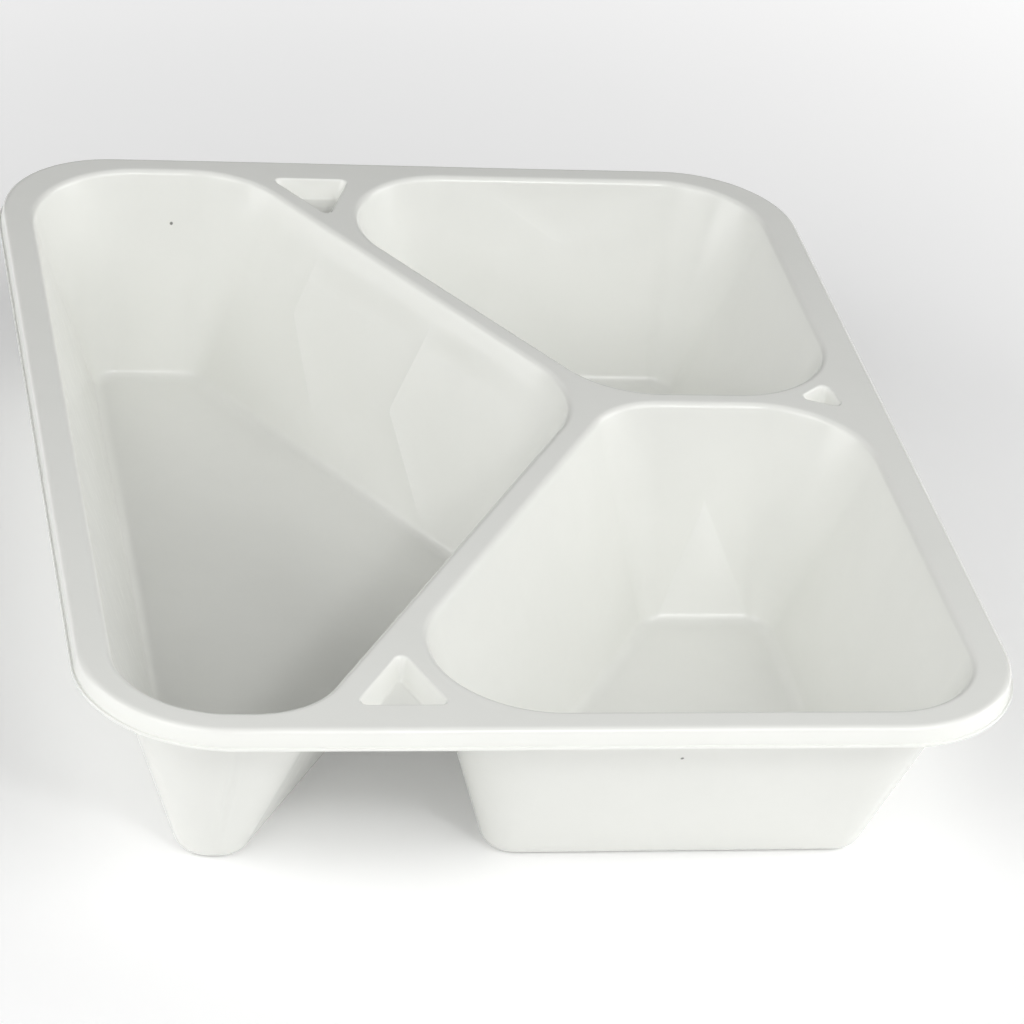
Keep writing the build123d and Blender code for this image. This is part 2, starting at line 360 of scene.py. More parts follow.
@dataclass
class Recess:
    """One drawn hollow of the sheet: a compartment or a web pocket.

    Attributes:
        name: Name of the hollow.
        outline: Its plan at the deck.
        draw: How the sheet is drawn there.
        top: Height of the deck.
        depth: Deck's upper surface to the floor's upper surface.
        relief: Unevenness of the sheet.
        wall_steps: Levels down the drawn wall.
        round_steps: Levels round each of its two roundings.
        floor_steps: Rings of the floor.
    """

    name: str
    outline: Outline
    draw: Draw
    top: float
    depth: float
    relief: Relief
    wall_steps: int = 36
    round_steps: int = 9
    floor_steps: int = 16

    def section(self) -> tuple[Array, Array, Array, Array]:
        """Upper surface of the sheet from the flange to the flat of the floor.

        The section is a level strip, an arc over the edge, a straight drafted wall
        and an arc into the floor.

        Returns:
            Inset, height, and the two parts of the outward normal, level by level.
        """
        draw = self.draw
        lean = math.radians(90 - draw.draft)
        over = np.linspace(0, lean, self.round_steps)
        edge_in = -draw.edge_radius * draw.turn + draw.edge_radius * np.sin(over)
        edge_up = self.top - draw.edge_radius * (1 - np.cos(over))
        foot = self.top - self.depth
        under = np.linspace(lean, 0, self.round_steps)
        foot_centre = self.depth * draw.slope + draw.foot_radius * draw.turn
        foot_in = foot_centre - draw.foot_radius * np.sin(under)
        foot_up = foot + draw.foot_radius * (1 - np.cos(under))
        share = np.linspace(0, 1, self.wall_steps + 2)[1:-1]
        wall_in = edge_in[-1] + (foot_in[0] - edge_in[-1]) * share
        wall_up = edge_up[-1] + (foot_up[0] - edge_up[-1]) * share
        inset = np.concatenate([[-draw.flange], edge_in, wall_in, foot_in, [foot_centre + draw.flat]])
        height = np.concatenate([[self.top], edge_up, wall_up, foot_up, [foot]])
        angle = np.concatenate([[0], over, np.full(self.wall_steps, lean), under, [0]])
        return inset, height, np.sin(angle), np.cos(angle)

    def rings(self) -> tuple[Array, Array]:
        """Rings of the wall's upper and lower surfaces, before the sheet settles."""
        inset, height, normal_in, normal_up = self.section()
        share = np.clip(inset / (self.depth * self.draw.slope), 0, 1)
        radius = self.outline.radii[None] * (1 - share)[:, None] + self.draw.foot_corner * share[:, None]
        outside, inside = np.minimum(inset, 0), np.maximum(inset - self.depth * self.draw.slope, 0)
        radius = radius - outside[:, None] - inside[:, None]
        bow = self.draw.bow * np.sin(np.pi * share) ** 2
        surfaces = []
        for gap in (0.0, self.draw.sheet):
            level = self.outline.rings(inset - gap * normal_in, radius + gap * normal_in[:, None], bow)
            surfaces.append(raised(level, height - gap * normal_up))
        return surfaces[0], surfaces[1]

    def rim(self) -> Array:
        """Plan of the ring that the deck shares with this hollow, before settling."""
        return self.rings()[0][0, :, :2]

    def skins(self) -> tuple[Array, Array]:
        """Rings of the wall's upper and lower surfaces, from the flange to the floor."""
        upper, lower = self.rings()
        return self.relief.settle(upper), self.relief.settle(lower)

    def floor_grids(self) -> tuple[list[Array], list[Array]]:
        """Rings of the floor's two surfaces, drawn in towards its middle.

        Each ring is the first one scaled about its centre. The crown lifts the
        middle by the square of one minus the squared scale, so the edge stays level.

        Returns:
            The rings and the middle point, of the upper and of the lower surface.
        """
        scale = np.linspace(1, 0, self.floor_steps + 1)[:-1]
        lift = self.draw.crown * (1 - scale**2) ** 2
        grids, hubs = [], []
        for surface in self.skins():
            ring = surface[-1]
            middle = ring.mean(axis=0)
            grid = middle + (ring - middle)[None] * scale[:, None, None]
            grid[..., 2] += lift[:, None]
            grids.append(grid)
            hubs.append(middle + np.array([0, 0, self.draw.crown]))
        return grids, hubs

    def closed(self, name: str, surfaces: Sequence[Array], hubs: Sequence[Array] = ()) -> Object:
        """Make one closed piece of the sheet.

        Args:
            name: Name of the piece.
            surfaces: Rings of the upper and lower surface, from the outside in.
            hubs: Middle points that close them, or none where a band does.
        """
        skin = Skin()
        upper, lower = (skin.add(surface) for surface in surfaces)
        skin.quads(upper)
        skin.quads(lower, flip=True)
        skin.quads(np.stack([lower[0], upper[0]]))
        if hubs:
            skin.fan(upper[-1], skin.add(hubs[0][None]))
            skin.fan(lower[-1], skin.add(hubs[1][None]), flip=True)
        else:
            skin.quads(np.stack([upper[-1], lower[-1]]))
        return skin.piece(name)

    def wall(self) -> Object:
        """Make the drawn wall, from the flange to the flat of the floor."""
        return self.closed(f"{self.name}_wall_sheet", self.skins())

    def floor(self) -> Object:
        """Make the floor plate."""
        grids, hubs = self.floor_grids()
        return self.closed(f"{self.name}_floor_sheet", grids, hubs)

    def cup(self) -> Object:
        """Make the whole hollow, wall and floor, as one piece."""
        grids, hubs = self.floor_grids()
        surfaces = [np.concatenate([wall, floor[1:]]) for wall, floor in zip(self.skins(), grids)]
        return self.closed(f"{self.name}_sheet", surfaces, hubs)


@dataclass
class Lip:
    """The turned-down lip round the tray, with the foot that trimming leaves.

    Attributes:
        outline: Flat edge of the deck, seen from above.
        top: Height of the deck.
        sheet: Thickness of the sheet.
        width: Flat edge of the deck to the trim edge.
        drop: Top of the deck to the underside of the trim edge.
        radius: Rounding from the deck into the lip.
        foot: Outward foot at the trim edge.
        relief: Unevenness of the sheet.
        draft: Angle of the lip's skirt to the vertical.
        thin: Rounding of the bends at the trim edge.
        round_steps: Points round each bend of the section.
    """

    outline: Outline
    top: float
    sheet: float
    width: float
    drop: float
    radius: float
    foot: float
    relief: Relief
    draft: float = 5.0
    thin: float = 0.16
    round_steps: int = 8

    def section(self) -> Array:
        """Closed section of the lip, outwards from the deck's edge and back below."""
        skirt = self.width - self.foot
        shoulder = skirt - (self.drop - self.sheet) * math.tan(math.radians(self.draft))
        ledge = self.sheet - self.drop
        points = [
            (0, 0),
            (shoulder, 0),
            (skirt, ledge),
            (self.width, ledge),
            (self.width, -self.drop),
            (skirt - self.sheet, -self.drop),
            (shoulder - self.sheet, -self.sheet),
            (0, -self.sheet),
        ]
        radii = (self.radius, *(self.thin,) * 4, self.radius - self.sheet)
        return rounded_path(points, radii, self.round_steps)

    def piece(self) -> Object:
        """Carry the section round the deck's edge.

        Each section point follows the outline grown by its outward distance, so the
        sweep keeps its shape round the corners.
        """
        section = self.section()
        growth = section[:, 0]
        radius = self.outline.radii[None] + growth[:, None]
        level = self.outline.rings(-growth, radius)
        points = self.relief.settle(raised(level, self.top + section[:, 1]))
        skin = Skin()
        grid = skin.add(points)
        skin.quads(np.concatenate([grid, grid[:1]]), flip=True)
        return skin.piece("rim_lip_roll")


@dataclass
class Deck:
    """The flat sealing deck: flange and webs, open at every hollow.

    Attributes:
        outline: Flat edge of the deck.
        top: Height of its upper surface.
        sheet: Thickness of the sheet.
        holes: Rings of points shared with the hollows.
        relief: Unevenness of the sheet.
        pitch: Spacing of the points inside the deck.
        clear: Share of the pitch that they keep from the rings.
        tiny: Least rise of an edge, so that none divides by zero.
        merge: Distance at which points count as one.
    """

    outline: Outline
    top: float
    sheet: float
    holes: list[Array]
    relief: Relief
    pitch: float = 2.5
    clear: float = 0.45
    tiny: float = 1e-12
    merge: float = 1e-7

    def inside(self, points: Array, ring: Array) -> Array:
        """Tell which points lie in a ring, by the parity of edges to their right."""
        ahead = np.roll(ring, -1, axis=0)
        x, y = points[:, None, 0], points[:, None, 1]
        spans = (ring[None, :, 1] > y) != (ahead[None, :, 1] > y)
        rise = ahead[:, 1] - ring[:, 1]
        safe = np.where(np.abs(rise) < self.tiny, self.tiny, rise)
        cross = ring[None, :, 0] + (y - ring[None, :, 1]) * ((ahead - ring)[:, 0] / safe)[None]
        return np.logical_and(spans, x < cross).sum(axis=1) % 2 == 1

    def piece(self) -> Object:
        """Fill the deck with triangles between its edge and its holes.

        The upper and lower surfaces hold the same triangles, a sheet's thickness
        apart, and a band closes every edge between them.
        """
        edge = self.outline.rings(np.zeros(1), self.outline.radii[None])[0]
        loops = [edge] + self.holes
        reach = np.abs(edge).max(axis=0)
        spans = [np.arange(-r + self.pitch, r - self.pitch / 2, self.pitch) for r in reach]
        grid = np.stack(np.meshgrid(*spans), axis=-1).reshape(-1, 2)
        grid = grid[self.inside(grid, edge)]
        for ring in loops:
            near = np.linalg.norm(grid[:, None] - ring[None], axis=-1).min(axis=1)
            grid = grid[near > self.pitch * self.clear]
        for ring in loops[1:]:
            grid = grid[~self.inside(grid, ring)]
        starts = np.cumsum([0] + [len(ring) for ring in loops])
        rings = [first + np.arange(len(ring)) for first, ring in zip(starts, loops)]
        edges = np.concatenate([np.stack([ring, np.roll(ring, -1)], axis=1) for ring in rings]).tolist()
        plan = np.concatenate(loops + [grid])
        filled = geometry.delaunay_2d_cdt([Vector(point) for point in plan], edges, [], 1, self.merge)
        origin = np.array([sources[0] for sources in filled[3]])
        faces = origin[np.array(filled[2])]
        middles = plan[faces].mean(axis=1)
        for ring in loops[1:]:
            keep = ~self.inside(middles, ring)
            faces, middles = faces[keep], middles[keep]
        skin = Skin()
        heights = np.array([self.top, self.top - self.sheet])
        upper, lower = skin.add(self.relief.settle(raised(np.stack([plan, plan]), heights)))
        skin.faces.append(upper[faces])
        skin.faces.append(lower[faces][:, ::-1])
        for number, ring in enumerate(rings):
            skin.quads(np.stack([upper[ring], lower[ring]]), flip=number == 0)
        return skin.piece("sealing_deck_sheet")


@dataclass(frozen=True)
class Web:
    """A slanting web, with the small compartment and the pocket beside it.

    Attributes:
        rim: Its rim end, inwards from the large compartment's left edge.
        width: Its width.
        pocket: Its centre line to its pocket.
        radii: Plan radii of the small compartment's corners, anticlockwise.
    """

    rim: float
    width: float
    pocket: float
    radii: Numbers


WEBS = {
    End.REAR: Web(rim=50.6, width=4.7, pocket=1.65, radii=(21.0, 23.0, 21.5, 22.5)),
    End.FRONT: Web(rim=37.9, width=5.5, pocket=2.6, radii=(22.0, 20.0, 22.0, 17.0)),
}


@dataclass
class TrayPlan:
    """Sizes of the tray, in millimetres, and the parts that follow from them.

    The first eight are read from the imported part: the compartments' edges, the deck's
    height, the sheet, and half of the overall size.

    Attributes:
        small_width: Inwards from the right edge to where the webs meet.
        junction_y: Y where they meet.
        cross_web: Width of the web between the small compartments.
        draft: Angle of the drawn walls to the vertical, in degrees.
        edge_radius: Rounding from the deck into a compartment.
        large_radii: Plan radii of the large compartment's corners, anticlockwise.
        trim_corner: Plan radius of the trimmed corners.
        lip: The lip's width, drop, rounding and foot, as the lip names them.
        pocket_edge: Trim edge to an end pocket.
        pocket_size: Length and width of an end pocket.
        pocket_depth: Deck to a pocket's floor.
        pocket_radius: Plan radius of a pocket's corners.
        side_corners: Side pocket's corners, inwards from the right edge and rearwards.
    """

    left: float
    right: float
    front: float
    rear: float
    top: float
    sheet: float
    half_x: float
    half_y: float
    small_width: float = 52.5
    junction_y: float = 8.2
    cross_web: float = 4.3
    draft: float = 20.5
    edge_radius: float = 1.6
    large_radii: Numbers = (20.0, 19.0, 25.0, 21.0, 26.0)
    trim_corner: float = 27.0
    lip: Numbers = (2.2, 4.0, 1.4, 0.5)
    pocket_edge: float = 9.2
    pocket_size: float = 17.8
    pocket_depth: float = 4.3
    pocket_radius: float = 1.4
    side_corners: tuple[Pair, ...] = ((1.5, -3.2), (3.3, 7.4), (10.6, 1.0))

    @classmethod
    def from_frame(cls) -> TrayPlan:
        """Read the tray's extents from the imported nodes."""
        low, high = np.array(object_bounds()) / MM
        deck_low, deck_high = np.array(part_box("sealing_deck")) / MM
        large_low, large_high = np.array(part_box("large_compartment_wall")) / MM
        small_high = np.array(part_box("rear_compartment_wall")[1]) / MM
        flange = Draw(0, cls.draft, cls.edge_radius, 0, 0).flange
        return cls(
            left=large_low[0] + flange,
            right=small_high[0] - flange,
            front=large_low[1] + flange,
            rear=large_high[1] - flange,
            top=deck_high[2],
            sheet=deck_high[2] - deck_low[2],
            half_x=(high[0] - low[0]) / 2,
            half_y=(high[1] - low[1]) / 2,
        )

    @property
    def junction_x(self) -> float:
        """X where the centre lines of the three webs meet."""
        return self.right - self.small_width

    def angle(self, end: End) -> float:
        """Angle of a slanting web to the long axis, in radians."""
        rim = self.rear if end is End.REAR else self.front
        across = self.junction_x - self.left - WEBS[end].rim
        return math.atan(across / abs(rim - self.junction_y))

    def beside(self, end: End, y: float, side: float) -> Pair:
        """Point at y beside a slanting web, side from its centre line."""
        angle = self.angle(end)
        return self.junction_x - abs(y - self.junction_y) * math.tan(angle) + side / math.cos(angle), y

    def apex_y(self) -> float:
        """Y where the two slanting sides of the large compartment meet."""
        rear, front = self.angle(End.REAR), self.angle(End.FRONT)
        split = WEBS[End.FRONT].width / math.cos(front) - WEBS[End.REAR].width / math.cos(rear)
        return self.junction_y + split / 2 / (math.tan(rear) + math.tan(front))

    def large(self) -> Outline:
        """Plan of the large compartment."""
        rear, front = -WEBS[End.REAR].width / 2, -WEBS[End.FRONT].width / 2
        corners = [
            (self.left, self.front),
            self.beside(End.FRONT, self.front, front),
            self.beside(End.REAR, self.apex_y(), rear),
            self.beside(End.REAR, self.rear, rear),
            (self.left, self.rear),
        ]
        return Outline(np.array(corners), np.array(self.large_radii))

    def small(self, end: End) -> Outline:
        """Plan of a small compartment."""
        web, near = WEBS[end], self.junction_y + end.value * self.cross_web / 2
        low, high = (near, self.rear) if end is End.REAR else (self.front, near)
        corners = [
            self.beside(end, low, web.width / 2),
            (self.right, low),
            (self.right, high),
            self.beside(end, high, web.width / 2),
        ]
        return Outline(np.array(corners), np.array(web.radii))

    def pocket(self, corners: Sequence[Pair]) -> Outline:
        """Plan of a pocket with those corners, anticlockwise."""
        radii = np.full(len(corners), self.pocket_radius)
        return Outline(np.array(corners), radii, arc_steps=9, side_steps=10)

    def end_pocket(self, end: End) -> Outline:
        """Plan of the pocket at the rim end of a slanting web."""
        base = end.value * (self.half_y - self.pocket_edge)
        tip = end.value * (self.half_y - self.pocket_edge - self.pocket_size)
        start, point = (self.beside(end, y, WEBS[end].pocket) for y in (base, tip))
        corners = [start, (start[0] + self.pocket_size, base), point]
        return self.pocket(corners[:: -end.value])

    def side_pocket(self) -> Outline:
        """Plan of the small pocket at the right end of the cross web."""
        spots = [(self.right - inward, self.junction_y + rearward) for inward, rearward in self.side_corners]
        return self.pocket(spots)

    def deep(self) -> Draw:
        """How a compartment is drawn."""
        rounding = {"foot_radius": 3.0, "foot_corner": 5.0}
        return Draw(self.sheet, self.draft, self.edge_radius, **rounding, bow=0.35, crown=0.25)

    def shallow(self) -> Draw:
        """How a pocket is drawn."""
        rounding = {"edge_radius": 0.45, "foot_radius": 0.5, "foot_corner": 0.6}
        return Draw(self.sheet, self.draft, **rounding, flat=0.05)

    def compartments(self, relief: Relief) -> list[Recess]:
        """The three compartments, in the order of their folds."""
        plans = {"large": self.large(), "rear": self.small(End.REAR), "front": self.small(End.FRONT)}
        sizes = (self.deep(), self.top, self.top - self.sheet, relief)
        return [Recess(f"{name}_compartment", plan, *sizes) for name, plan in plans.items()]

    def pockets(self, relief: Relief) -> list[Recess]:
        """The three web pockets, on a coarser mesh than the compartments."""
        ends = {"rear": self.end_pocket(End.REAR), "front": self.end_pocket(End.FRONT)}
        plans = {**ends, "side": self.side_pocket()}
        sizes = (self.shallow(), self.top, self.pocket_depth, relief)
        steps = {"wall_steps": 6, "round_steps": 5, "floor_steps": 5}
        return [Recess(f"{name}_web_pocket", plan, *sizes, **steps) for name, plan in plans.items()]

    def wall_of(self, outline: Outline, side: int) -> Wall:
        """Plane of one drafted wall, by the number of its outline's side."""
        start = outline.corners[side]
        ahead = outline.corners[(side + 1) % len(outline.corners)] - start
        return Wall(tuple(start), tuple(ahead), self.top, self.draft)

    def folds(self) -> tuple[tuple[Fold, ...], ...]:
        """Folds in the rear wall of each compartment: large, rear, front."""
        slanting = self.wall_of(self.large(), 2)
        rear, front = (self.wall_of(self.small(end), 2) for end in End)
        far, tall = ((83.9, 7.5), (73.1, 30.5)), ((46.5, 6.3), (31.5, 38.8))
        far_kite = Fold(slanting, (84.7, 19.0), far, (8.0, 33.0), rise=-0.20, fall=-0.12)
        tall_kite = Fold(slanting, (48.5, 24.9), tall, (7.0, 39.0), rise=-0.24, fall=-0.14, fade=9.0)
        wide, steep = ((60.1, 2.7), (21.6, 2.6)), ((38.4, 40.2), (20.4, 40.2))
        vee = Fold(rear, (41.3, 14.4), wide, (2.0, 22.0), rise=-0.09, fall=0.05, fade=7.0, blend=5.0)
        gable = Fold(front, (30.4, 19.0), steep, (14.0, 44.0), blend=0.3, facet=0.22)
        return (far_kite, tall_kite), (vee,), (gable,)

    def deck_edge(self) -> Outline:
        """Flat edge of the deck, inside the lip."""
        width = self.lip[0]
        x, y = self.half_x - width, self.half_y - width
        corners = [(-x, -y), (x, -y), (x, y), (-x, y)]
        radii = np.full(len(corners), self.trim_corner - width)
        return Outline(np.array(corners), radii, arc_steps=40, side_steps=60)


# ---- finishes


class Socket:
    """A shader value that adds Math nodes when it is used in an expression."""

    def __init__(self, tree: NodeTree, value: Any) -> None:
        """Hold a node socket or a plain number."""
        self.tree = tree
        self.value = value

    def _math(self, operation: str, *values: Any) -> Socket:
        """Add one Math node."""
        return self.tree.node("ShaderNodeMath", {"operation": operation}, values)

    def __add__(self, other: Any) -> Socket:
        """Sum."""
        return self._math("ADD", self, other)

    def __sub__(self, other: Any) -> Socket:
        """Difference."""
        return self._math("SUBTRACT", self, other)

    def __mul__(self, other: Any) -> Socket:
        """Product."""
        return self._math("MULTIPLY", self, other)

    def __rsub__(self, other: Any) -> Socket:
        """Difference from a plain number."""
        return self._math("SUBTRACT", other, self)

    __radd__ = __add__

    def above(self, limit: float, soft: float) -> Socket:
        """A smooth step from 0 to 1 as the value passes limit."""
        settings = {"interpolation_type": "SMOOTHSTEP"}
        return self.tree.node("ShaderNodeMapRange", settings, (self, limit - soft, limit + soft, 0.0, 1.0))

    def below(self, limit: float, soft: float) -> Socket:
        """A smooth step from 1 to 0 as the value passes limit."""
        return 1.0 - self.above(limit, soft)

    def size(self) -> Socket:
        """The value without its sign."""
        return self._math("ABSOLUTE", self)

    def least(self, other: Socket, blend: float) -> Socket:
        """The smaller of two values, blended over a short range."""
        return self._math("SMOOTH_MIN", self, other, blend)

    def swell(self, reach: float) -> Socket:
        """The value where it is positive, dying away over a reach beyond it."""
        ahead = self._math("MAXIMUM", self, 0.0)
        return ahead * self._math("EXPONENT", ahead * (-1.0 / reach))

    def along(self, way: Sequence[float]) -> Socket:
        """Length of this position vector along a direction, in millimetres."""
        scaled = tuple(float(part) / MM for part in way)
        return self.tree.node("ShaderNodeVectorMath", {"operation": "DOT_PRODUCT"}, (self, scaled), "Value")


class NodeTree:
    """One material's nodes, made by a single method."""

    def __init__(self, name: str) -> None:
        """Start an empty material of that name."""
        self.material = bpy.data.materials.new(name)
        self.material.use_nodes = True
        self.nodes = self.material.node_tree.nodes
        self.links = self.material.node_tree.links
        self.nodes.clear()

    def node(
        self,
        kind: str,
        settings: dict[str, Any] | None = None,
        inputs: Sequence[Any] | dict[Any, Any] = (),
        output: int | str = 0,
    ) -> Socket:
        """Add a node, set it up and feed its sockets.

        Args:
            kind: Blender's type name of the node.
            settings: Attributes to set first.
            inputs: Values or sockets, in order or by socket name.
            output: Which output to return.

        Returns:
            The chosen output, ready for expressions.
        """
        made = self.nodes.new(kind)
        for key, value in (settings or {}).items():
            setattr(made, key, value)
        pairs = inputs.items() if isinstance(inputs, dict) else enumerate(inputs)
        for key, value in pairs:
            if isinstance(value, Socket):
                self.links.new(value.value, made.inputs[key])
            elif value is not None:
                made.inputs[key].default_value = value
        return Socket(self, made.outputs[output] if made.outputs else made)

    def finish(self, inputs: dict[str, Any]) -> bpy.types.Material:
        """Add the surface shader, and return the finished material."""
        shader = self.node("ShaderNodeBsdfPrincipled", None, inputs)
        self.node("ShaderNodeOutputMaterial", None, {"Surface": shader})
        return self.material

    def mix(self, share: Socket, first: Any, second: Any) -> Socket:
        """Blend two colours, with that share of the second."""
        return self.node("ShaderNodeMix", {"data_type": "RGBA"}, {0: share, 6: first, 7: second}, output=2)

    def noise(self, place: Socket, scale: float, detail: float = 2.0) -> Socket:
        """Smooth noise round 0.5."""
        inputs = {"Vector": place, "Scale": scale, "Detail": detail}
        return self.node("ShaderNodeTexNoise", {"noise_dimensions": "3D"}, inputs)

    def bump(self, height: Socket, depth: float = 1.0, under: Socket | None = None) -> Socket:
        """Normal of a relief of that depth, on top of another normal."""
        inputs = {"Strength": 1.0, "Distance": depth, "Height": height, "Normal": under}
        return self.node("ShaderNodeBump", None, inputs)


@dataclass(frozen=True)
class Wall:
    """The plane of one drafted wall, with its own two directions.

    Attributes:
        foot: A point of the wall at its compartment edge, in plan.
        heading: Direction along the wall, in plan; the hollow lies to its left.
        top: Height of the deck.
        draft: Angle of the wall to the vertical, in degrees.
    """

    foot: Pair
    heading: Pair
    top: float
    draft: float

    @property
    def tangent(self) -> Array:
        """Unit vector along the wall."""
        return unit(np.array([*self.heading, 0.0]))

    @property
    def normal(self) -> Array:
        """Unit vector out of the wall, into the hollow."""
        lean = math.radians(self.draft)
        inward = np.array([-self.tangent[1], self.tangent[0], 0.0])
        return inward * math.cos(lean) + np.array([0, 0, math.sin(lean)])

    @property
    def origin(self) -> Array:
        """The foot point at deck height."""
        return np.array([*self.foot, self.top])


@dataclass(frozen=True)
class Fold:
    """A crease that forming has left in a wall, in the shape of a blunt arrow.

    Two straight creases leave one corner. Between them, on their near side, the
    sheet leans one way by its rise, and behind them it leans by its fall. With d
    the distance from the creases, the height is lean times d times exp(-d / fade),
    so the creases are crisp and the lean dies away from them.

    Attributes:
        wall: Plane that the fold lies in.
        corner: Where the creases meet, along the wall and below the deck.
        arms: Ends of the two creases, in the same measures.
        band: Depths between which the fold shows.
        rise: Lean between the creases, millimetres in a millimetre.
        fall: Lean behind them.
        fade: Distance over which the lean dies away.
        blend: Softness of the bend between the two arms.
        facet: Upward tilt of the flat between the creases.
        ramp: Softness of the creases at the sides of that flat.
        reach: Distance from the wall's plane at which the fold stops.
        soft: Softness of the band's two ends and of that stop.
    """

    wall: Wall
    corner: Pair
    arms: tuple[Pair, Pair]
    band: Pair
    rise: float = 0.0
    fall: float = 0.0
    fade: float = 8.0
    blend: float = 1.5
    facet: float = 0.0
    ramp: float = 0.5
    reach: float = 3.0
    soft: Triple = (3.0, 4.0, 1.0)

    def spread(self, place: Socket) -> tuple[Socket, Socket]:
        """Distance inside the creases, and how far the fold shows there.

        Args:
            place: Position on the tray, in metres.

        Returns:
            The distance in millimetres, negative behind the creases, and a share.
        """
        wall = self.wall
        along = place.along(wall.tangent) - float(wall.origin @ wall.tangent)
        depth = place.along((0, 0, -1)) + wall.top
        off = place.along(wall.normal) - float(wall.origin @ wall.normal)
        corner = np.array(self.corner)
        runs = unit(np.array(self.arms) - corner)
        reaches = []
        for run in runs:
            across = np.array([-run[1], run[0]])
            across = across * np.sign(across @ sum(runs))
            reaches.append(along * across[0] + depth * across[1] - float(corner @ across))
        shown = depth.above(self.band[0], self.soft[0]) * depth.below(self.band[1], self.soft[1])
        shown = shown * off.size().below(self.reach, self.soft[2])
        return reaches[0].least(reaches[1], self.blend), shown

    def height(self, place: Socket) -> Socket:
        """Height of the fold above its wall, in metres, at a place in metres."""
        reach, shown = self.spread(place)
        near = reach.swell(self.fade) * (self.rise * MM)
        behind = (reach * -1.0).swell(self.fade) * (self.fall * MM)
        return (near + behind) * shown

    def tilt(self, place: Socket) -> Socket:
        """Upward tilt of the flat between the creases, at a place in metres."""
        reach, shown = self.spread(place)
        return reach.above(0.0, self.ramp) * shown * self.facet


@dataclass(frozen=True)
class FormedSheet:
    """Satin white plastic sheet, as it comes off the forming tool.

    Attributes:
        name: Name of the finish.
        folds: Creases of the wall that wears this finish.
        colour: Base colour, linear.
        shade: Colour of the faint clouding.
        speck: Colour of the dark specks.
        clouding: Share of the shade in the clouded patches.
        speckling: Share of the speck's colour in a speck.
        speck_scale: Specks' cells in a metre.
        speck_size: Radius of a speck, as a share of its cell.
        clean: Share of the cells that stay clean.
        roughness: Least roughness of the satin surface.
        cloud_rough: Roughness that clouding adds.
        scuff_rough: Roughness that a scuff adds.
        scuff_scale: Noise scale of the scuffs, which run along the sheet.
        grain: Depth of the fine texture, in metres.
        swell: Depth of the soft orange peel, in metres.
        refraction: Index of refraction of the plastic.
    """

    name: str
    folds: tuple[Fold, ...] = ()
    colour: Numbers = (0.892, 0.898, 0.862, 1.0)
    shade: Numbers = (0.862, 0.87, 0.832, 1.0)
    speck: Numbers = (0.1, 0.1, 0.09, 1.0)
    clouding: float = 0.5
    speckling: float = 0.8
    speck_scale: float = 83.0
    speck_size: float = 0.03
    clean: float = 0.75
    roughness: float = 0.215
    cloud_rough: float = 0.02
    scuff_rough: float = 0.035
    scuff_scale: Triple = (90.0, 900.0, 200.0)
    grain: float = 4e-6
    swell: float = 3.0e-5
    refraction: float = 1.49

    def specks(self, tree: NodeTree, place: Socket) -> Socket:
        """Share of the speck's colour: a dot in the middle of a few cells."""
        inputs = {"Vector": place, "Scale": self.speck_scale}
        away = tree.node("ShaderNodeTexVoronoi", None, inputs)
        lot = tree.node("ShaderNodeTexVoronoi", None, inputs, output="Color")
        chosen = tree.node("ShaderNodeSeparateColor", None, (lot,)).above(self.clean, 0.01)
        return away.below(self.speck_size, 0.008) * chosen * self.speckling

    def formed(self, tree: NodeTree, place: Socket) -> Socket | None:
        """Normal of the creased wall, or None for a wall without folds."""
        if not self.folds:
            return None
        normal = tree.bump(sum(fold.height(place) for fold in self.folds))
        tilts = [fold.tilt(place) for fold in self.folds if fold.facet]
        if tilts:
            upward = tree.node("ShaderNodeCombineXYZ", None, {"Z": sum(tilts)})
            leaning = tree.node("ShaderNodeVectorMath", {"operation": "ADD"}, (normal, upward))
            normal = tree.node("ShaderNodeVectorMath", {"operation": "NORMALIZE"}, (leaning,))
        return normal

    def material(self) -> bpy.types.Material:
        """Build the finish.

        Colour clouds slowly over tens of millimetres, and a few dark specks lie in
        the sheet. Roughness varies with the same clouds and with scuffs stretched
        along the sheet. The bumps stand on each other: the folds, orange peel some
        millimetres across and a grain of a third of one.
        """
        tree = NodeTree(self.name)
        place = tree.node("ShaderNodeTexCoord", output="Object")
        stretch = {"Vector": place, "Scale": self.scuff_scale}
        stretched = tree.node("ShaderNodeMapping", {"vector_type": "POINT"}, stretch)
        cloud, patch = tree.noise(place, 32.0, 3.0), tree.noise(place, 140.0)
        clouds = (cloud * 0.7 + patch * 0.3).above(0.5, 0.16)
        scuffed = tree.noise(stretched, 1.0, 3.0).above(0.62, 0.08)
        colour = tree.mix(clouds * self.clouding, self.colour, self.shade)
        peel = tree.bump(tree.noise(place, 230.0), self.swell, self.formed(tree, place))
        inputs = {
            "Base Color": tree.mix(self.specks(tree, place), colour, self.speck),
            "Roughness": clouds * self.cloud_rough + scuffed * self.scuff_rough + self.roughness,
            "Normal": tree.bump(tree.noise(place, 2600.0), self.grain, peel),
            "IOR": self.refraction,
        }
        return tree.finish(inputs)


